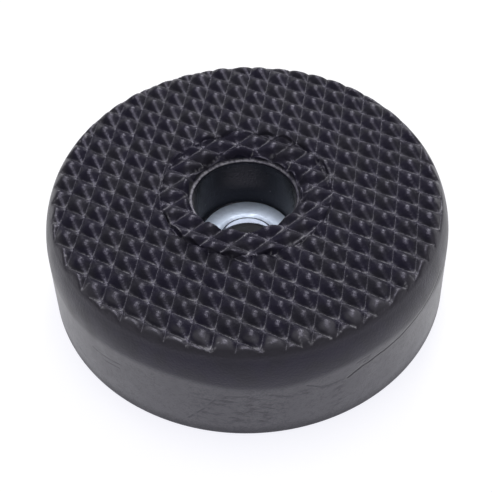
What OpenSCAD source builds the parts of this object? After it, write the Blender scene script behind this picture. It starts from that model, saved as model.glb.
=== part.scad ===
// Moulded rubber foot with a steel washer bonded into its screw hole.
// It stands on its mounting face at z = 0, with the gripping tread on top.
// A screw goes down through the bore, and its head clamps on the washer.

/* [Body] */
// Diameter at the mounting face
base_d = 40; // [36:0.5:44]
// Diameter of the side wall at the mould's parting line
wall_d = 39.35; // [35.5:0.05:39.6]
// Height of the mould's parting line, where the side wall starts to lean in
parting_z = 7.7; // [5:0.1:8.5]
// Height from the mounting face to the tips of the tread
foot_h = 11.8; // [11:0.1:14]
// Radius of the gentle curve above the parting line
lean_r = 8; // [5:0.5:9]
// Radius of the tighter curve that meets the tread
shoulder_r = 1.9; // [1.4:0.1:2.4]
// Bevel around the edge of the mounting face
base_bevel = 0.3; // [0.1:0.1:0.6]

/* [Tread] */
// Height of the pyramids above the bottoms of the grooves
tread_depth = 0.55; // [0.4:0.05:0.8]
// Width of a groove at the level of the tips
groove_w = 1.68; // [1.3:0.02:1.8]
// Distance between the long rows of grooves
row_pitch = 1.94; // [1.9:0.02:2.4]
// Distance between the cross rows of grooves
cross_pitch = 2.07; // [1.9:0.01:2.4]
// Direction of the long rows, in degrees from +X
row_angle = -29.7; // [-90:0.1:90]
// Angle between the long rows and the cross rows, in degrees
lozenge_angle = 109.6; // [90:0.1:120]

/* [Turned ring] */
// Diameter of the ring around the bore, where the mould insert ends
ring_d = 16.5; // [14:0.1:20]
// Angle by which the ring's tread is turned against the outer tread
ring_turn = 71.4; // [0:0.1:180]
// Width of the witness groove around the ring
witness_w = 0.2; // [0.16:0.02:0.4]
// Depth of the witness groove below the bottoms of the tread grooves
witness_depth = 0.25; // [0.1:0.05:0.5]

/* [Bore and washer] */
// Diameter of the bore for the screw's head
bore_d = 10; // [9:0.1:12]
// Radius of the rounding at the mouth of the bore
mouth_r = 1.3; // [0.8:0.1:2]
// Diameter of the screw hole, which clears an M5 screw
screw_hole_d = 5.5; // [4.5:0.1:6]
// Outer diameter of the washer
washer_d = 15; // [13:0.5:20]
// Thickness of the washer
washer_t = 1; // [0.8:0.1:1.6]
// Thickness of the rubber under the washer
floor_t = 3.6; // [2:0.1:4.5]
// Width of the bevel around the washer's hole
hole_bevel = 0.4; // [0.2:0.05:0.6]
// Depth of that bevel
hole_bevel_h = 0.2; // [0.1:0.05:0.4]

/* [Hidden] */
$fn = 180;
// Offsets of the groove rows from the bore's axis, as parts of a pitch:
// the mould was cut with no tooth exactly on the axis
outer_row_shift = -0.07;
outer_cross_shift = 0.06;
ring_row_shift = -0.12;
ring_cross_shift = 0.25;
// Length by which a cutting shape runs past what it cuts
over = 1;
// Levels, from the mounting face upwards
washer_top = floor_t + washer_t;
groove_floor = foot_h - tread_depth;
round_z = foot_h - shoulder_r;
lip_z = foot_h - mouth_r;
// Draft angle of the side wall, and the centre of the gentle curve above it
draft = atan((base_d - wall_d) / 2 / parting_z);
lean_x = wall_d / 2 - lean_r * cos(draft);
lean_z = parting_z - lean_r * sin(draft);
// Angle at which the two curves join, and the centre of the tighter one
join = asin((round_z - lean_z) / (lean_r - shoulder_r));
round_x = lean_x + (lean_r - shoulder_r) * cos(join);
// Length that reaches past the disc from its axis
reach = base_d / 2;

// Half section of the solid disc: drafted side wall and two curves above it
module disc_section() {
    polygon([
        [0, 0],
        [base_d / 2 - base_bevel, 0],
        [base_d / 2, base_bevel],
        [wall_d / 2, parting_z],
        [round_x, round_z],
        [round_x, foot_h],
        [0, foot_h]
    ]);
    intersection() {
        translate([lean_x, lean_z])
            circle(r = lean_r);
        polygon([
            [lean_x, lean_z],
            [lean_x + reach * cos(draft), lean_z + reach * sin(draft)],
            [lean_x + reach * cos(join), lean_z + reach * sin(join)]
        ]);
    }
    translate([round_x, round_z])
        circle(r = shoulder_r);
}

// One V groove along X, cut down from above the tips
module groove() {
    rotate([90, 0, 90])
        linear_extrude(height = 2 * reach, center = true)
            polygon([
                [0, groove_floor],
                [groove_w / 2, foot_h],
                [groove_w / 2, foot_h + over],
                [-groove_w / 2, foot_h + over],
                [-groove_w / 2, foot_h]
            ]);
}

// The tube of space that one tread fills, between two radii
module zone(r_in, r_out) {
    difference() {
        cylinder(r = r_out, h = foot_h + 2 * over);
        translate([0, 0, -over])
            cylinder(r = r_in, h = foot_h + 4 * over);
    }
}

// Parallel grooves at one pitch, those that cross a disc of the given radius
module rows(pitch, shift, r_out) {
    last = floor(r_out / pitch);
    for (k = [-last:last])
        translate([0, (k + shift) * pitch, 0])
            groove();
}

// Both sets of grooves, which leave lozenge pyramids between them
module tread(r_in, r_out, turn, row_shift, cross_shift) {
    intersection() {
        zone(r_in, r_out);
        rotate(row_angle + turn) {
            rows(row_pitch, row_shift, r_out);
            rotate(lozenge_angle)
                rows(cross_pitch, cross_shift, r_out);
        }
    }
}

// Groove left by the joint between the mould's cavity and its insert
module witness_groove() {
    rotate_extrude()
        translate([ring_d / 2 - witness_w / 2, groove_floor - witness_depth])
            square([witness_w, witness_depth + tread_depth + over]);
}

// Bore for the screw's head, with its rounded mouth
module head_bore() {
    translate([0, 0, washer_top])
        cylinder(d = bore_d, h = foot_h);
    rotate_extrude()
        difference() {
            translate([0, lip_z])
                square([bore_d / 2 + mouth_r, mouth_r + over]);
            translate([bore_d / 2 + mouth_r, lip_z])
                circle(r = mouth_r);
        }
}

module rubber_body() {
    color("#2e2d33")
        difference() {
            rotate_extrude()
                disc_section();
            tread(ring_d / 2, reach, 0, outer_row_shift, outer_cross_shift);
            tread(bore_d / 2, ring_d / 2, ring_turn, ring_row_shift, ring_cross_shift);
            witness_groove();
            head_bore();
            translate([0, 0, floor_t])
                cylinder(d = washer_d, h = washer_t);
            translate([0, 0, -over])
                cylinder(d = screw_hole_d, h = foot_h);
        }
}

// Flat washer with a shallow bevel around the upper edge of its hole
module steel_washer() {
    hole_r = screw_hole_d / 2;
    color("#b9bcc6")
        rotate_extrude()
            polygon([
                [hole_r, floor_t],
                [washer_d / 2, floor_t],
                [washer_d / 2, washer_top],
                [hole_r + hole_bevel, washer_top],
                [hole_r, washer_top - hole_bevel_h]
            ]);
}

rubber_body();
steel_washer();
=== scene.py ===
import math

import bpy
import numpy as np
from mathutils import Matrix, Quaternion, Vector
from mathutils.geometry import delaunay_2d_cdt


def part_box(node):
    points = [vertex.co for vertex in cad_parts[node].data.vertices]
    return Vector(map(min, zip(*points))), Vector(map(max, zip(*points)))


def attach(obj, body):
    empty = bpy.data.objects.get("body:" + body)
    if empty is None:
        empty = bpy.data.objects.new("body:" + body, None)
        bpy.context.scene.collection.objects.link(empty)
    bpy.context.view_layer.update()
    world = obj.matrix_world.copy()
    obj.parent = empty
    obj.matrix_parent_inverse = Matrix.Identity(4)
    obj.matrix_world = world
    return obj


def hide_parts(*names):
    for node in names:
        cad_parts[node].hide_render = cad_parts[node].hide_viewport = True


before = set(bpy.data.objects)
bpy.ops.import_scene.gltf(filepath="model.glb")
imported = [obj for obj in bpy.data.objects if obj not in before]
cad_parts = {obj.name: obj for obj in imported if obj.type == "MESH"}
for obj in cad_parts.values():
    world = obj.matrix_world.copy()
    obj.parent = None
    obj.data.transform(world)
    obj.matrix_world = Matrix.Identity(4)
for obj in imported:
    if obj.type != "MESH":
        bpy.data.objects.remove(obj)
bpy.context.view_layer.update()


# ---------------------------------------------------------------- Rubber body
# A round foot moulded in one shot of hard black rubber around its washer.
# The mould's bottom was cut with crossing V rows, which leave pyramids on the
# rubber. Around the bore a turned insert carries the same rows at another angle.
MM = 0.001
_, body_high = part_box("rubber_body")
washer_low, washer_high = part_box("steel_washer")

# The disc in mm: its bevel, its parting line, and the two curves above that
base_r = body_high.x / MM
foot_h = body_high.z / MM
base_bevel = 0.3
parting_r = 19.675
parting_z = 7.7
lean_r = 8.0
shoulder_r = 1.9
round_z = foot_h - shoulder_r
draft = math.atan((base_r - parting_r) / parting_z)
lean_x = parting_r - lean_r * math.cos(draft)
lean_z = parting_z - lean_r * math.sin(draft)
join = math.asin((round_z - lean_z) / (lean_r - shoulder_r))
round_x = lean_x + (lean_r - shoulder_r) * math.cos(join)

# The tread, with its rows shifted from the axis by these parts of a pitch
tread_r = 18.75
tread_depth = 0.65
groove_floor = foot_h - tread_depth
row_pitch = 1.94
cross_pitch = 2.07
row_angle = math.radians(-29.7)
lozenge_angle = math.radians(109.6)
outer_shifts = (-0.07, 0.06)

# The turned ring around the bore, which falls a little towards the back
ring_r = 8.25
ring_turn = math.radians(71.4)
ring_shifts = (-0.12, 0.25)
ring_fall = -0.026

# The bore, a little off the axis, with a thin lip that falls towards the back too
bore_r = 5.0
bore_shift = -0.16
lip_r = 5.33
lip_z = 10.5
lip_fall = -0.038
screw_r = 2.75

# Every tip is worn by its own amount, and stands at its own height
tips = 64
rng = np.random.default_rng(7)
tip_wear = rng.random((tips, tips))
tip_lift = rng.random((tips, tips))
lift_range = 0.06
least_blunt = 0.5
wear_blunt = 0.5

# Pyramids near the rim are blunter still, from this radius and fully so past this width
rim_blunt = 1.5
rim_start = 16.9
rim_width = 1.2

# A tip is a round cone that would reach the grooves at this distance. Keels start on it
# at this share of the way out, and are complete after this much more
tip_reach = 1.15
keel_start = 0.1
keel_length = 0.65
# Power of the rounded lozenges that its level lines are, which grows towards the grooves
tip_corner = 2.3

# Pale bloom and painted highlight lie in a line at this share of the way out to the grooves
pale_line_at = 0.97
pale_line_half = 0.055
far_bloom_and_highlight = 0.08


def soft_min(a, b, blend):
    """The lower of two heights, with the edge between them rounded over."""
    near = np.maximum(blend - np.abs(a - b), 0.0)
    return np.minimum(a, b) - near ** 2 / (4 * blend)


def between(value, start, end, fade):
    """1 between two limits, fading to 0 outside them."""
    return np.clip((value - start) / fade + 0.5, 0, 1) * np.clip((end - value) / fade + 0.5, 0, 1)


def across_rows(x, y, angle, pitch, shift):
    """How far each point lies from the crest between two grooves, and the crest's number."""
    turns = (y * math.cos(angle) - x * math.sin(angle)) / pitch - shift
    number = np.floor(turns)
    return (turns - number - 0.5) * pitch, number.astype(int)


def from_crossing(from_row, from_cross):
    """Distance from where a row and a cross row meet, from the distances to those rows."""
    skew = 2 * from_row * from_cross * math.cos(lozenge_angle)
    return np.sqrt(from_row ** 2 + from_cross ** 2 - skew) / math.sin(lozenge_angle)


def pyramids(x, y, turn, shifts):
    """Height of one tread, and the pale bloom in its groove bottoms, which is partly painted highlight.
    """
    row_turn = row_angle + turn
    row, i = across_rows(x, y, row_turn, row_pitch, shifts[0])
    cross, j = across_rows(x, y, row_turn + lozenge_angle, cross_pitch, shifts[1])

    # Level lines are sharp lozenges down at the grooves, and turn into circles at the tip
    from_row = np.abs(row) / (row_pitch / 2)
    from_cross = np.abs(cross) / (cross_pitch / 2)
    edge = np.maximum(from_row, from_cross)
    corner = tip_corner / (1.001 - np.minimum(edge, 1) ** 3)
    share_row = from_row / np.maximum(edge, 1e-6)
    share_cross = from_cross / np.maximum(edge, 1e-6)
    lozenge = edge * (share_row ** corner + share_cross ** corner) ** (1 / corner)
    keel = np.clip((edge - keel_start) / keel_length, 0, 1)
    keel = keel ** 2 * (3 - 2 * keel)
    out = lozenge * keel + from_crossing(row, cross) / tip_reach * (1 - keel)

    # Each pyramid falls from its own peak, over a tip as blunt as its wear and place make it
    centre_row = (i + 0.5 + shifts[0]) * row_pitch
    centre_cross = (j + 0.5 + shifts[1]) * cross_pitch
    rim = np.clip((from_crossing(centre_row, centre_cross) - rim_start) / rim_width, 0, 1)
    blunt = least_blunt + wear_blunt * tip_wear[i % tips, j % tips] + rim_blunt * rim
    fall = (np.sqrt(out ** 2 + blunt ** 2) - blunt) / (np.sqrt(1 + blunt ** 2) - blunt)
    peak = foot_h + lift_range / 2 - lift_range * tip_lift[i % tips, j % tips]
    height = peak - (peak - groove_floor) * fall

    # The groove lines are partly bloom and partly painted highlight. They are palest along the near foot
    # and more to the right, then turn the corner and fade out up the right-hand foot. The far feet have
    # hardly any, and the back of the tread less
    near = -row / (row_pitch / 2)
    right = -cross / (cross_pitch / 2)
    foot_line = (from_row ** 6 + from_cross ** 6) ** (1 / 6)
    line = np.clip(1 - np.abs(foot_line - pale_line_at) / pale_line_half, 0, 1)
    near_foot = np.clip(0.52 + 0.96 * right, 0.36, 1)
    right_foot = 0.06 + 0.75 * np.clip(1.6 * near - 0.2, 0, 1) ** 1.5
    amount = np.where(near > right, near_foot, right_foot)
    amount = np.where((near > -0.8 * right) | (right > 0.9), amount, far_bloom_and_highlight)
    towards_front = 0.84 - 0.022 * y
    return height, line * amount * towards_front


def groove_number(x, y):
    """The numbers of the row and cross groove that each point lies on, or 0."""
    in_ring = np.hypot(x, y) < ring_r
    numbers = []
    for turn, pitch, which in ((0.0, row_pitch, 0), (lozenge_angle, cross_pitch, 1)):
        shift = np.where(in_ring, ring_shifts[which], outer_shifts[which])
        angle = row_angle + turn + np.where(in_ring, ring_turn, 0.0)
        turns = (y * np.cos(angle) - x * np.sin(angle)) / pitch - shift
        nearest = np.round(turns)
        # The added numbers keep the two treads apart, and every groove's number above 0
        groove = nearest + 100 + 500 * in_ring
        touching = np.abs(turns - nearest) < 0.002
        numbers.append(np.where(touching, groove, 0))
    return np.column_stack(numbers)


def shoulder_height(radius):
    """Height of the two curves that carry the side wall over to the tread."""
    tight = round_z + np.sqrt(shoulder_r ** 2 - np.clip(radius - round_x, 0, shoulder_r) ** 2)
    gentle = lean_z + np.sqrt(lean_r ** 2 - np.clip(radius - lean_x, 0, lean_r) ** 2)
    return np.where(radius < lean_x + lean_r * math.cos(join), tight, gentle)


def painted_lip_highlight(east, north):
    """Painted highlight on the lip of the bore, which is palest at the back and to the left."""
    return 0.26 + 0.22 * north - 0.12 * east


# The witness line is open from and to these angles in degrees, and deeper there by this much
witness_openings = [(-160, -136, 0.28), (-131, -120, 0.22), (-109, -100, 0.25), (-81, -74, 0.2)]
# Painted highlights show as pale lines beside it, at these radii, from and to these angles
witness_highlights = [(8.02, -62, -40), (8.32, -60, -42), (7.95, 2, 28), (8.5, 8, 30), (8.05, -158, -140)]
witness_highlight_half = 0.06
witness_half = 0.11
witness_depth = 0.03
witness_swing = 0.04

# Behind this line across the bore, the ring sinks to the lip within this radius
sink_from = -3.2
sink_fade = 1.6
sink_r = 6.05
sink_width = 0.6
# The mould cuts it off at the lip, this many mm down for each mm inwards
cut_slope = 9
cut_round = 0.1

# Clipped pyramids stand this much above the shoulder's curve, with rounded edges
proud = 0.3
proud_width = 0.8
clip_round = 0.25
cut_highlight_degrees = 4
cut_highlight_half = 0.025


def tread_surface(x, y):
    """Height of the whole tread side, and how much pale bloom and painted highlight lie on it."""
    radius = np.hypot(x, y)
    side = np.degrees(np.arctan2(y, x))

    # The ring sinks towards the lip beside and behind the bore, and is cut off steeply there
    ring, ring_line = pyramids(x, y, ring_turn, ring_shifts)
    ring = ring + ring_fall * y
    lip = lip_z + lip_fall * y
    behind = np.clip((y - sink_from) / sink_fade, 0, 1)
    sunk = behind * np.clip((sink_r - radius) / sink_width, 0, 1) ** 1.5
    ring = ring - (groove_floor + ring_fall * y - lip - 0.03) * sunk
    from_bore = np.hypot(x - bore_shift, y)
    ring = soft_min(ring, lip + (from_bore - lip_r) * cut_slope, cut_round)
    ring = np.where(from_bore < lip_r + 0.001, lip, ring)
    ring_line = ring_line * np.clip((from_bore - lip_r) / 0.12, 0, 1)
    # A painted highlight lies on the lip
    ring_line = np.where(from_bore < lip_r + 0.02, painted_lip_highlight(x / lip_r, y / lip_r), ring_line)

    # The shoulder clips the outer pyramids. Painted highlight brightens the groove lines where they run
    # out at the rim, and lies along some of the cuts
    outer, outer_line = pyramids(x, y, 0.0, outer_shifts)
    dome = shoulder_height(radius)
    run_out = between(radius, 18.2, 18.62, 0.12)
    outer_line = outer_line * (1 + 0.8 * run_out) * np.clip((dome - outer) / 0.05 + 0.5, 0, 1)
    has_cut_highlight = tip_lift[(np.round(side / cut_highlight_degrees)).astype(int) % tips, 5] > 0.55
    cut_highlight = between(outer - dome, -cut_highlight_half, cut_highlight_half, 0.03) * has_cut_highlight * (dome < foot_h - 0.12)
    proud_dome = dome + proud * np.clip((tread_r - radius) / proud_width, 0, 1)
    outer = soft_min(outer, proud_dome, clip_round)
    in_ring = radius < ring_r
    height = np.where(in_ring, ring, outer)
    bloom_and_highlight = np.where(in_ring, ring_line, np.maximum(outer_line, 0.55 * cut_highlight))

    # The witness line between the two treads is uneven, and open in places
    unevenness = np.sin(np.radians(side * 7)) * np.sin(np.radians(side * 3 + 40))
    depth = witness_depth + witness_swing * unevenness
    for start, end, extra in witness_openings:
        depth = depth + extra * between(side, start, end, 4)
    hollow = np.clip(1 - ((radius - ring_r) / witness_half) ** 2, 0, 1)
    height = np.where(hollow > 0, np.minimum(height, height - hollow * depth), height)
    # Painted highlights lie as pale lines beside it
    for highlight_r, start, end in witness_highlights:
        witness_highlight_line = np.clip(1 - np.abs(radius - highlight_r) / witness_highlight_half, 0, 1) * between(side, start, end, 3)
        bloom_and_highlight = np.maximum(bloom_and_highlight, 0.6 * witness_highlight_line)
    return height, bloom_and_highlight


def lattice(turn, shifts, inner, outer):
    """Points lined up with the grooves, closer together beside each groove and tip.

    It also gives the pairs of points that an edge joins along each pyramid's keel.
    """
    steps = np.array([
        0, 0.016, 0.038, 0.09, 0.18, 0.27, 0.35, 0.42, 0.47,
        0.53, 0.58, 0.65, 0.73, 0.82, 0.91, 0.962, 0.984,
    ])
    count = int(outer / row_pitch) + 3
    turns = (np.arange(-count, count)[:, None] + steps).ravel()
    a = row_angle + turn
    b = a + lozenge_angle
    u, v = np.meshgrid((turns + shifts[0]) * row_pitch, (turns + shifts[1]) * cross_pitch)
    spread = math.sin(b - a)
    x = (u * math.cos(b) - v * math.cos(a)) / spread
    y = (u * math.sin(b) - v * math.sin(a)) / spread
    radius = np.hypot(x, y)
    kept = (radius > inner) & (radius < outer)
    number = np.cumsum(kept).reshape(kept.shape) - 1
    step = np.arange(len(turns)) % len(steps)
    on_keel = kept[:-1, :-1] & kept[1:, 1:] & (step[:-1, None] == step[None, :-1])
    keel_edges = np.column_stack((number[:-1, :-1][on_keel], number[1:, 1:][on_keel]))
    return np.column_stack((x[kept], y[kept])), keel_edges


def circle(radius, count, across=0.0):
    """Points evenly round a circle, which may stand off the axis."""
    turns = np.arange(count) * 2 * math.pi / count
    return np.column_stack((across + radius * np.cos(turns), radius * np.sin(turns)))


# The tread side is one net of triangles, from the lip of the bore out to the shoulder.
# Each lattice stops short of the circles that bound it, to leave room for good triangles
segments = 400
fine_segments = 420
lip_margin = 0.55
witness_margin = 0.26
rim_margin = 0.08
same_point = 1e-6
witness_rings = [ring_r + k for k in (-0.2, -0.12, -0.08, -0.04, -0.012, 0.012, 0.04, 0.08, 0.12, 0.2)]
lip_rings = [lip_r + k for k in (0.03, 0.06, 0.09, 0.13, 0.18, 0.26, 0.36)]
ring_points, ring_keels = lattice(ring_turn, ring_shifts, lip_r + lip_margin, ring_r - witness_margin)
outer_points, outer_keels = lattice(0.0, outer_shifts, ring_r + witness_margin, tread_r - rim_margin)
circles = (
    [circle(lip_r, segments, bore_shift), circle(tread_r, segments)]
    + [circle(r, fine_segments) for r in witness_rings]
    + [circle(r, fine_segments, bore_shift) for r in lip_rings]
)
plan = np.vstack(circles + [ring_points, outer_points])
outer_first = len(plan) - len(outer_points)
ring_first = outer_first - len(ring_points)
keels = np.vstack((ring_keels + ring_first, outer_keels + outer_first))
net = delaunay_2d_cdt([Vector(p) for p in plan], keels.tolist(), [], 0, same_point)
placed, _, triangles, origins, _, _ = net
plan = np.array([tuple(p) for p in placed])
new_number = {old: new for new, olds in enumerate(origins) for old in olds}
lip_ring = [new_number[k] for k in range(segments)]
rim_ring = [new_number[k] for k in range(segments, 2 * segments)]
lip_set = set(lip_ring)
faces = [tuple(t) for t in triangles if not lip_set.issuperset(t)]
height, bloom_and_highlight = tread_surface(plan[:, 0], plan[:, 1])
verts = [tuple(p) for p in np.column_stack((plan, height))]


def revolve(first, profile, last):
    """Joins two rings of vertices along a profile of radius, height, fall and offset."""
    ring = first
    turns = np.arange(segments) * 2 * math.pi / segments
    for radius, level, *placing in profile:
        fall, across = placing or (0, 0)
        new = list(range(len(verts), len(verts) + segments))
        for t in turns:
            north = radius * math.sin(t)
            verts.append((across + radius * math.cos(t), north, level + fall * north))
        for k in range(segments):
            n = (k + 1) % segments
            faces.append((ring[k], new[k], new[n], ring[n]))
        ring = new
    for k in range(segments):
        n = (k + 1) % segments
        faces.append((ring[k], last[k], last[n], ring[n]))


def arc(cx, cz, radius, start, end, count):
    """Points along an arc of a profile, with angles in degrees above the horizontal."""
    steps = np.radians(np.linspace(start, end, count))
    return [(cx + radius * math.cos(s), cz + radius * math.sin(s)) for s in steps]


# From the shoulder the surface goes down the wall, under the foot, and up the bore to the lip
draft_degrees = math.degrees(draft)
join_degrees = math.degrees(join)
tread_degrees = math.degrees(math.acos((tread_r - round_x) / shoulder_r))
shoulder = arc(round_x, round_z, shoulder_r, tread_degrees - 3, join_degrees, 4)
lean = arc(lean_x, lean_z, lean_r, join_degrees - 3, draft_degrees, 8)
wall = [
    (parting_r + (base_r - parting_r) * s, parting_z + (base_bevel - parting_z) * s)
    for s in (0.03, 0.15, 0.3, 0.45, 0.6, 0.75, 0.9, 0.97)
]
base_edge = arc(base_r - base_bevel, base_bevel, base_bevel, draft_degrees, -90, 6)
washer_r = washer_high.x / MM
floor_z = washer_low.z / MM
washer_z = washer_high.z / MM
hole_edge = 0.2
under = [(base_r * 0.6, 0), (screw_r + hole_edge, 0), (screw_r, hole_edge), (screw_r, floor_z)]
feather_steps = [(0.17, 0.01), (0.1, 0.04), (0.04, 0.12), (0.01, 0.22)]
feather = [(bore_r - inward, washer_z + up, 0, bore_shift) for inward, up in feather_steps]
pocket = [(washer_r, floor_z), (washer_r, washer_z), (bore_r - feather_steps[0][0], washer_z)]
lip_round = 0.2
bore = [
    (bore_r, washer_z + (lip_z - lip_round - washer_z) * s, lip_fall * s, bore_shift)
    for s in (0.07, 0.2, 0.4, 0.6, 0.8, 0.93)
]
lip_arc = arc(bore_r + lip_round, lip_z - lip_round, lip_round, 180, 90, 6)
lip = [(r, z, lip_fall, bore_shift) for r, z in lip_arc]
revolve(rim_ring, shoulder + lean + wall + base_edge + under + pocket + feather + bore + lip, lip_ring)

foot_mesh = bpy.data.meshes.new("rubber_foot")
foot_mesh.from_pydata([tuple(c * MM for c in v) for v in verts], [], faces)
foot_mesh.polygons.foreach_set("use_smooth", [True] * len(foot_mesh.polygons))

# Pale bloom and painted highlight lie on the tread, and painted highlight on the last three rings, over
# the lip
bloom_and_highlight_values = np.zeros(len(verts))
bloom_and_highlight_values[: len(bloom_and_highlight)] = bloom_and_highlight
lip_turns = np.tile(np.arange(segments) * 2 * math.pi / segments, 3)
bloom_and_highlight_values[-len(lip_turns):] = painted_lip_highlight(np.cos(lip_turns), np.sin(lip_turns))
bloom_and_highlight_layer = foot_mesh.attributes.new("bloom_and_highlight", "FLOAT", "POINT")
bloom_and_highlight_layer.data.foreach_set("value", bloom_and_highlight_values)

# The groove bottoms stay sharp
on_groove = groove_number(plan[:, 0], plan[:, 1])
ends = np.zeros(2 * len(foot_mesh.edges), dtype=int)
foot_mesh.edges.foreach_get("vertices", ends)
ends = ends.reshape(-1, 2)
on_tread = (ends < len(plan)).all(axis=1)
first, second = on_groove[np.where(on_tread[:, None], ends, 0)].transpose(1, 0, 2)
sharp = on_tread & ((first == second) & (first != 0)).any(axis=1)
sharp_layer = foot_mesh.attributes.new("sharp_edge", "BOOLEAN", "EDGE")
sharp_layer.data.foreach_set("value", sharp)
foot_mesh.validate()
rubber_foot = bpy.data.objects.new("rubber_foot", foot_mesh)
bpy.context.scene.collection.objects.link(rubber_foot)
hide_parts("rubber_body")
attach(rubber_foot, "root")


def wire(value, socket):
    """Feeds a socket from another socket, or with a plain value."""
    if isinstance(value, bpy.types.NodeSocket):
        socket.id_data.links.new(value, socket)
    else:
        socket.default_value = value


def maths(tree, operation, *values):
    """One maths node on sockets or plain numbers."""
    node = tree.nodes.new("ShaderNodeMath")
    node.operation = operation
    for value, socket in zip(values, node.inputs):
        wire(value, socket)
    return node.outputs[0]


def times(tree, product, *others):
    """Several sockets or plain numbers, multiplied together."""
    for other in others:
        product = maths(tree, "MULTIPLY", product, other)
    return product


def vector_maths(tree, operation, *values):
    """One vector maths node, which gives a vector or a plain number."""
    node = tree.nodes.new("ShaderNodeVectorMath")
    node.operation = operation
    for value, socket in zip(values, node.inputs):
        wire(value, socket)
    return node.outputs["Value" if operation in ("DOT_PRODUCT", "LENGTH") else "Vector"]


def ramp(tree, value, low, high, start=0.0, end=1.0):
    """Maps a value smoothly from one range to another."""
    node = tree.nodes.new("ShaderNodeMapRange")
    node.interpolation_type = "SMOOTHSTEP"
    for setting, socket in zip((value, low, high, start, end), node.inputs):
        wire(setting, socket)
    return node.outputs[0]


def noise(tree, vector, scale, detail):
    """A noise pattern, with its scale in patches to each unit of the vector."""
    node = tree.nodes.new("ShaderNodeTexNoise")
    wire(vector, node.inputs["Vector"])
    wire(scale, node.inputs["Scale"])
    wire(detail, node.inputs["Detail"])
    return node.outputs["Fac"]


def blend(tree, factor, first, second):
    """Mixes two colours."""
    node = tree.nodes.new("ShaderNodeMix")
    node.data_type = "RGBA"
    wire(factor, node.inputs["Factor"])
    wire(first, node.inputs["A"])
    wire(second, node.inputs["B"])
    return node.outputs["Result"]


def split(tree, vector):
    """The X, Y and Z of a vector."""
    node = tree.nodes.new("ShaderNodeSeparateXYZ")
    wire(vector, node.inputs["Vector"])
    return node.outputs["X"], node.outputs["Y"], node.outputs["Z"]


def from_axis(tree, x, y):
    """Distance from the axis of the foot."""
    return maths(tree, "SQRT", maths(tree, "ADD", times(tree, x, x), times(tree, y, y)))


# The tread is deep black with a cool cast, and the wall below the parting line is greyer
deep_black = (0.0070, 0.0055, 0.0165, 1)
olive_black = (0.0080, 0.0074, 0.0125, 1)
skin_and_reflection_grey = (0.090, 0.088, 0.102, 1)
painted_shade_black = (0.004, 0.004, 0.005, 1)
shoulder_black = (0.033, 0.031, 0.038, 1)
painted_highlight_grey = (0.055, 0.053, 0.063, 1)
bore_black_and_reflection = (0.017, 0.021, 0.027, 1)
painted_hole_light = (0.12, 0.12, 0.13, 1)
crease_grey = (0.15, 0.15, 0.155, 1)
scuff_black = (0.012, 0.010, 0.014, 1)
grain_grey = (0.04, 0.04, 0.05, 1)
pale_bloom_and_highlight = (0.28, 0.275, 0.30, 1)
rubber = bpy.data.materials.new("moulded_rubber")
rubber.use_nodes = True
tree = rubber.node_tree
rubber_shader = tree.nodes["Principled BSDF"]
rubber_shader.inputs["IOR"].default_value = 1.48
rubber_shader.inputs["Specular Tint"].default_value = (0.84, 0.80, 1, 1)
rubber_shader.inputs["Sheen Weight"].default_value = 0.07
rubber_shader.inputs["Sheen Roughness"].default_value = 0.4
rubber_shader.inputs["Coat Roughness"].default_value = 0.35
place = tree.nodes.new("ShaderNodeTexCoord").outputs["Object"]
east, north, up = split(tree, place)
level = times(tree, up, 1 / MM)
side = maths(tree, "DEGREES", maths(tree, "ARCTAN2", north, east))
radial = from_axis(tree, east, north)
outside = maths(tree, "GREATER_THAN", radial, 17.5 * MM)
grain = noise(tree, place, 5200.0, 2.0)
mottle = noise(tree, place, 1300.0, 5.0)
cloud = noise(tree, place, 420.0, 4.0)
broad = noise(tree, place, 90.0, 2.0)

# Below the parting line the wall is a lighter grey, partly its matt skin and partly a painted reflection
# of the white floor, and the edge of this grey rises and falls
wave_count = 5.714
wave_start = 118.0
wave_height = 0.42
wave = times(tree, maths(tree, "ADD", side, wave_start), wave_count)
wave = maths(tree, "COSINE", maths(tree, "RADIANS", wave))
grey_band_level = maths(tree, "SUBTRACT", level, times(tree, wave, wave_height))
grey_band_level = maths(tree, "ADD", grey_band_level, times(tree, maths(tree, "SUBTRACT", broad, 0.5), 0.5))
below = times(tree, ramp(tree, grey_band_level, 8.0, 7.0), outside)
# Painted shade darkens the wall towards its foot, where it stands on the floor
painted_base_shade = ramp(tree, level, 0.0, 1.9, 0.1, 1.0)
patchy = times(
    tree,
    ramp(tree, grain, 0.3, 0.7, 0.7, 1.3),
    ramp(tree, cloud, 0.3, 0.7, 0.78, 1.2),
    ramp(tree, mottle, 0.3, 0.7, 0.84, 1.14),
)
wall_tone = blend(tree, times(tree, painted_base_shade, patchy), painted_shade_black, skin_and_reflection_grey)

# The shoulder is paler, and the tops of the clipped pyramids at the front carry a painted highlight
body_tone = blend(tree, ramp(tree, cloud, 0.4, 0.62), deep_black, olive_black)
paler_shoulder = times(tree, ramp(tree, radial, 17.7 * MM, 18.5 * MM), ramp(tree, level, 10.1, 11.1))
body_tone = blend(tree, paler_shoulder, body_tone, shoulder_black)
# Painted highlight on the tops of the clipped pyramids at the front
rim_tops = times(tree, ramp(tree, radial, 16.8 * MM, 17.7 * MM), ramp(tree, level, 11.3, 11.6))
rim_front = times(tree, ramp(tree, side, -150.0, -120.0), ramp(tree, side, -60.0, -35.0, 1.0, 0.0))
body_tone = blend(tree, times(tree, rim_tops, rim_front), body_tone, painted_highlight_grey)

# The bore is smooth and has a cool cast, which is painted reflection of the washer, and the screw hole
# is painted paler inside, as painted light
smooth_bore = times(tree, maths(tree, "LESS_THAN", radial, 5.15 * MM), ramp(tree, level, 10.3, 10.0))
body_tone = blend(tree, smooth_bore, body_tone, bore_black_and_reflection)
in_hole = maths(tree, "LESS_THAN", radial, 2.9 * MM)
body_tone = blend(tree, in_hole, body_tone, painted_hole_light)
tone = blend(tree, below, body_tone, wall_tone)

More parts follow.
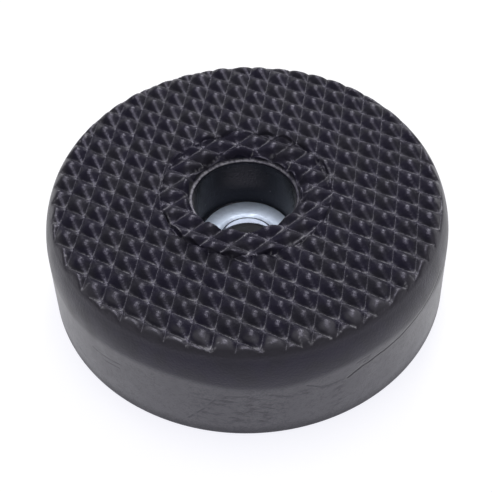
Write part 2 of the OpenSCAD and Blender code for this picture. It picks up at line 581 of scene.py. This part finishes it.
# How far a point on the wall lies from one straight mark, with every place given in mm
mark_kind = bpy.data.node_groups.new("distance_from_mark", "ShaderNodeTree")
for name in ("Place", "Start", "Direction"):
    mark_kind.interface.new_socket(name, in_out="INPUT", socket_type="NodeSocketVector")
mark_kind.interface.new_socket("Length", in_out="INPUT", socket_type="NodeSocketFloat")
mark_kind.interface.new_socket("Distance", in_out="OUTPUT", socket_type="NodeSocketFloat")
given = mark_kind.nodes.new("NodeGroupInput").outputs
from_start = vector_maths(mark_kind, "SUBTRACT", given["Place"], given["Start"])
along = vector_maths(mark_kind, "DOT_PRODUCT", from_start, given["Direction"])
along = maths(mark_kind, "MINIMUM", maths(mark_kind, "MAXIMUM", along, 0.0), given["Length"])
nearest = mark_kind.nodes.new("ShaderNodeVectorMath")
nearest.operation = "SCALE"
wire(given["Direction"], nearest.inputs[0])
wire(along, nearest.inputs["Scale"])
away = vector_maths(mark_kind, "SUBTRACT", from_start, nearest.outputs["Vector"])
wire(vector_maths(mark_kind, "LENGTH", away), mark_kind.nodes.new("NodeGroupOutput").inputs["Distance"])

# The wall unrolled: mm along it in X, and mm up it in Y, where marks wander a little
wall_r = 19.8
mm_per_degree = math.radians(wall_r)
wander = maths(tree, "SUBTRACT", noise(tree, place, 700.0, 3.0), 0.5)
along_wall = times(tree, side, mm_per_degree)
unrolled = tree.nodes.new("ShaderNodeCombineXYZ")
wire(along_wall, unrolled.inputs["X"])
wire(maths(tree, "ADD", level, times(tree, wander, 0.35)), unrolled.inputs["Y"])


def from_marks(*lines):
    """Distance in mm from broken lines, whose points are given as (degrees, mm) on the wall."""
    distance = 9.0
    for points in lines:
        places = [Vector((mm_per_degree * turn, z, 0)) for turn, z in points]
        for start, end in zip(places, places[1:]):
            mark = tree.nodes.new("ShaderNodeGroup")
            mark.node_tree = mark_kind
            wire(unrolled.outputs["Vector"], mark.inputs["Place"])
            wire(start, mark.inputs["Start"])
            wire((end - start).normalized(), mark.inputs["Direction"])
            wire((end - start).length, mark.inputs["Length"])
            distance = maths(tree, "MINIMUM", mark.outputs["Distance"], distance)
    return distance


# A long crease climbs the wall to the right, painted dark as shade, with a pale band along it
from_crease = from_marks(
    [(-64.6, 5.8), (-60.5, 6.5), (-54.6, 6.8), (-47.3, 7.0), (-38.4, 7.5), (-31.5, 7.85), (-25.4, 8.5)],
)
crease = times(tree, ramp(tree, from_crease, 0.04, 0.2, 1.0, 0.0), outside)
crease_band = times(tree, ramp(tree, from_crease, 0.1, 0.55, 1.0, 0.0), outside)

# Shorter scratches lie to the left, and around the smooth patch at the front
from_scratch = from_marks(
    [(-137, 5.5), (-132, 5.6), (-126, 6.0)],
    [(-133, 4.9), (-127, 5.3)],
    [(-145, 2.5), (-142, 2.2)],
    [(-107, 1.9), (-104, 3.2), (-100, 5.2), (-96.6, 6.1), (-91, 6.2)],
    [(-76, 6.7), (-72.6, 6.0), (-69, 5.75)],
    [(-67, 4.5), (-68, 3.8), (-71, 3.9)],
    [(-62, 7.3), (-58, 7.55), (-60, 6.95)],
)
scratch = times(tree, ramp(tree, from_scratch, 0.02, 0.17, 1.0, 0.0), outside)
scratch = times(tree, scratch, ramp(tree, mottle, 0.4, 0.56, 0.1, 0.9))

# Scuffs lie along the wall at the front, apart from one smooth patch
around = tree.nodes.new("ShaderNodeCombineXYZ")
wire(times(tree, along_wall, 0.85), around.inputs["X"])
wire(times(tree, level, 2.0), around.inputs["Y"])
streaks = noise(tree, around.outputs["Vector"], 1.0, 6.0)
front = times(tree, ramp(tree, side, -108.0, -101.0), ramp(tree, side, -68.0, -63.0, 1.0, 0.0))
heights = times(tree, ramp(tree, level, 1.4, 2.4), ramp(tree, level, 5.9, 6.5, 1.0, 0.0))
scuff = times(tree, ramp(tree, streaks, 0.46, 0.64, 0.0, 0.75), front, heights)
patch_width = times(tree, ramp(tree, side, -83.0, -80.0), ramp(tree, side, -70.0, -67.5, 1.0, 0.0))
patch = times(tree, patch_width, ramp(tree, level, 5.0, 5.6, 1.0, 0.0))
off_patch = maths(tree, "SUBTRACT", 1.0, patch)
scuff = times(tree, maths(tree, "MAXIMUM", scuff, scratch), off_patch)

# Pale bloom and painted highlight in the groove bottoms, broken up by the grain, and a few specks of
# dust
groove = tree.nodes.new("ShaderNodeAttribute")
groove.attribute_name = "bloom_and_highlight"
broken = ramp(tree, noise(tree, place, 2600.0, 2.0), 0.34, 0.64, 0.25, 1.45)
broken_bloom_and_highlight = times(tree, groove.outputs["Fac"], broken)
specks = tree.nodes.new("ShaderNodeTexVoronoi")
wire(place, specks.inputs["Vector"])
wire(330.0, specks.inputs["Scale"])
pick = tree.nodes.new("ShaderNodeSeparateColor")
wire(specks.outputs["Color"], pick.inputs["Color"])
dust = ramp(tree, specks.outputs["Distance"], 0.012, 0.03, 1.0, 0.0)
dust = times(tree, dust, maths(tree, "GREATER_THAN", pick.outputs[0], 0.8))
pale = maths(tree, "MINIMUM", maths(tree, "ADD", broken_bloom_and_highlight, times(tree, dust, 0.6)), 1.0)

tone = blend(tree, times(tree, crease_band, 0.55), tone, crease_grey)
# Painted shade darkens the crease
tone = blend(tree, times(tree, crease, 0.85), tone, painted_shade_black)
tone = blend(tree, times(tree, scuff, 0.62), tone, scuff_black)
tone = blend(tree, times(tree, ramp(tree, grain, 0.35, 0.7), 0.1), tone, grain_grey)
tone = blend(tree, pale, tone, pale_bloom_and_highlight)
wire(tone, rubber_shader.inputs["Base Color"])
rough = maths(tree, "ADD", ramp(tree, cloud, 0.3, 0.7, 0.36, 0.44), times(tree, below, 0.04))
rough = maths(tree, "ADD", rough, times(tree, smooth_bore, -0.16))
wire(maths(tree, "ADD", rough, times(tree, pale, 0.2)), rubber_shader.inputs["Roughness"])

# The grey band shines a little, but not down at its base where painted shade lies, nor where it is
# marked
marked = maths(tree, "MAXIMUM", crease, times(tree, scuff, 0.75))
shine = times(tree, below, painted_base_shade, maths(tree, "SUBTRACT", 1.0, marked))
wire(times(tree, shine, ramp(tree, mottle, 0.35, 0.68, 0.34, 0.43)), rubber_shader.inputs["Coat Weight"])

relief = maths(tree, "ADD", times(tree, grain, 0.03), times(tree, cloud, 0.03))
relief = maths(tree, "SUBTRACT", relief, times(tree, crease, 0.07))
relief = maths(tree, "SUBTRACT", relief, times(tree, scuff, 0.02))
bump = tree.nodes.new("ShaderNodeBump")
bump.inputs["Distance"].default_value = MM
wire(relief, bump.inputs["Height"])
wire(bump.outputs["Normal"], rubber_shader.inputs["Normal"])
foot_mesh.materials.append(rubber)


# ---------------------------------------------------------------- Steel washer
# A zinc-plated flat washer bonded into the foot, punched from strip.
# A shallow bevel runs around the upper edge of its punched hole.
hole_bevel = 0.4
bevel_depth = 0.2
eased = 0.05
bevel_z = washer_z - bevel_depth
washer_profile = [
    (washer_r - eased, floor_z),
    (washer_r, floor_z + eased),
    (washer_r, washer_z - eased),
    (washer_r - eased, washer_z),
    # Rings across the flat
    (6.2, washer_z),
    (5.0, washer_z),
    (4.0, washer_z),
    # The bevel, rolled over at its outer edge and eased into the hole
    (screw_r + hole_bevel + 0.06, washer_z),
    (screw_r + hole_bevel - 0.04, washer_z - 0.02),
    (screw_r + 0.09, bevel_z + 0.045),
    (screw_r + 0.04, bevel_z + 0.02),
    (screw_r + 0.008, bevel_z - 0.008),
    (screw_r, bevel_z - eased),
    (screw_r, floor_z + eased),
    (screw_r + eased, floor_z),
]
washer_sides = 256
washer_verts = []
washer_faces = []
for radius, z in washer_profile:
    for k in range(washer_sides):
        turn = 2 * math.pi * k / washer_sides
        washer_verts.append((radius * math.cos(turn) * MM, radius * math.sin(turn) * MM, z * MM))
for ring in range(len(washer_profile)):
    here = ring * washer_sides
    after = (ring + 1) % len(washer_profile) * washer_sides
    for k in range(washer_sides):
        n = (k + 1) % washer_sides
        washer_faces.append((here + k, here + n, after + n, after + k))
washer_mesh = bpy.data.meshes.new("zinc_washer")
washer_mesh.from_pydata(washer_verts, [], washer_faces)
washer_mesh.polygons.foreach_set("use_smooth", [True] * len(washer_mesh.polygons))
washer_mesh.validate()
zinc_washer = bpy.data.objects.new("zinc_washer", washer_mesh)
bpy.context.scene.collection.objects.link(zinc_washer)
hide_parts("steel_washer")
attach(zinc_washer, "root")

# Zinc plate is bluish and cloudy with fine crystals, and smoother inside the punched hole
deep_zinc = (0.62, 0.69, 0.82, 1)
bright_zinc = (0.69, 0.78, 0.92, 1)
crystal_grey = (0.42, 0.46, 0.56, 1)
zinc = bpy.data.materials.new("zinc_plate")
zinc.use_nodes = True
tree = zinc.node_tree
zinc_shader = tree.nodes["Principled BSDF"]
zinc_shader.inputs["Metallic"].default_value = 1.0
place = tree.nodes.new("ShaderNodeTexCoord").outputs["Object"]
crystals = noise(tree, place, 1800.0, 4.0)
cloudy = noise(tree, place, 300.0, 3.0)
zinc_tone = blend(tree, ramp(tree, cloudy, 0.3, 0.7), deep_zinc, bright_zinc)
zinc_tone = blend(tree, ramp(tree, crystals, 0.35, 0.75, 0.0, 0.25), zinc_tone, crystal_grey)
wire(zinc_tone, zinc_shader.inputs["Base Color"])
east, north, _ = split(tree, place)
burnished = ramp(tree, from_axis(tree, east, north), 2.77 * MM, 2.85 * MM, 0.2, 1.0)
wire(times(tree, ramp(tree, crystals, 0.3, 0.7, 0.52, 0.62), burnished), zinc_shader.inputs["Roughness"])
dimple = tree.nodes.new("ShaderNodeBump")
dimple.inputs["Distance"].default_value = MM
wire(times(tree, crystals, 0.012), dimple.inputs["Height"])
wire(dimple.outputs["Normal"], zinc_shader.inputs["Normal"])
washer_mesh.materials.append(zinc)


# ---------------------------------------------------------------- Floor and light
# A plain white table top under soft studio light from behind and overhead.
# Its shadow keeps a faint lavender cast.
floor_mesh = bpy.data.meshes.new("floor")
reach = 0.9
corners = [(-reach, -reach, 0), (reach, -reach, 0), (reach, reach, 0), (-reach, reach, 0)]
floor_mesh.from_pydata(corners, [], [(0, 1, 2, 3)])
floor = bpy.data.objects.new("floor", floor_mesh)
bpy.context.scene.collection.objects.link(floor)

# The paper is near white to the light that it passes on, and shines by itself where it is seen
lit_white = (0.86, 0.86, 0.88, 1)
seen_grey = (0.2, 0.2, 0.16, 1)
fibre_grey = (0.5, 0.5, 0.5, 1)
paper = bpy.data.materials.new("white_paper")
paper.use_nodes = True
tree = paper.node_tree
paper_shader = tree.nodes["Principled BSDF"]
place = tree.nodes.new("ShaderNodeTexCoord").outputs["Object"]
fibres = ramp(tree, noise(tree, place, 900.0, 4.0), 0.3, 0.7, 0.985, 1.0)
path = tree.nodes.new("ShaderNodeLightPath")
seen = maths(tree, "MAXIMUM", path.outputs["Is Camera Ray"], path.outputs["Is Glossy Ray"])
paper_tone = blend(tree, seen, lit_white, seen_grey)
paper_tone = blend(tree, fibres, fibre_grey, paper_tone)
wire(paper_tone, paper_shader.inputs["Base Color"])
paper_shader.inputs["Roughness"].default_value = 0.9
paper_shader.inputs["Specular IOR Level"].default_value = 0.0
paper_shader.inputs["Emission Color"].default_value = (0.93, 0.93, 1, 1)
wire(times(tree, seen, 0.92), paper_shader.inputs["Emission Strength"])
floor_mesh.materials.append(paper)

world = bpy.data.worlds.new("studio")
bpy.context.scene.world = world
world.use_nodes = True
tree = world.node_tree
sky = tree.nodes["Background"]
path = tree.nodes.new("ShaderNodeLightPath")
brightness = tree.nodes.new("ShaderNodeMix")
brightness.data_type = "FLOAT"
brightness.inputs["A"].default_value = 0.19
brightness.inputs["B"].default_value = 1.0
wire(path.outputs["Is Camera Ray"], brightness.inputs["Factor"])
wire(brightness.outputs["Result"], sky.inputs["Strength"])
sky.inputs["Color"].default_value = (1, 1, 1, 1)


def softbox(name, azimuth, elevation, away, width, height, power):
    """A studio lamp with a soft front, aimed at the foot from one direction."""
    data = bpy.data.lights.new(name, "AREA")
    data.shape = "RECTANGLE"
    data.size = width
    data.size_y = height
    data.energy = power
    lamp = bpy.data.objects.new(name, data)
    bpy.context.scene.collection.objects.link(lamp)
    turn = math.radians(azimuth)
    rise = math.radians(elevation)
    level_part = away * math.cos(rise)
    lamp.location = (level_part * math.cos(turn), level_part * math.sin(turn), away * math.sin(rise))
    lamp.rotation_euler = (-lamp.location).to_track_quat("-Z", "Y").to_euler()


softbox("back", azimuth=78, elevation=35, away=0.6, width=0.2, height=0.15, power=1.6)
softbox("overhead", azimuth=95, elevation=79, away=0.6, width=0.3, height=0.3, power=2.3)


# ---------------------------------------------------------------- Camera
# It stands in front of the foot and looks down at it, rolled by a small angle.
# Its distance runs from a point on the axis, and it aims just in front of that.
aim_z = 9.4 * MM
aim = Vector((-0.165 * MM, -5.343 * MM, aim_z))
distance = 92.6 * MM
elevation = math.radians(46.96)
roll = math.radians(-2.01)
eye = Vector((0, -math.cos(elevation), math.sin(elevation))) * distance + Vector((0, 0, aim_z))
camera_data = bpy.data.cameras.new("camera")
camera_data.lens = 69.37
camera_data.sensor_width = 36
camera_data.clip_start = 0.001
camera = bpy.data.objects.new("camera", camera_data)
bpy.context.scene.collection.objects.link(camera)
camera.location = eye
camera.rotation_mode = "QUATERNION"
facing = (aim - eye).to_track_quat("-Z", "Y")
camera.rotation_quaternion = facing @ Quaternion((0, 0, 1), roll)
bpy.context.scene.camera = camera
bpy.context.scene.view_settings.view_transform = "Standard"
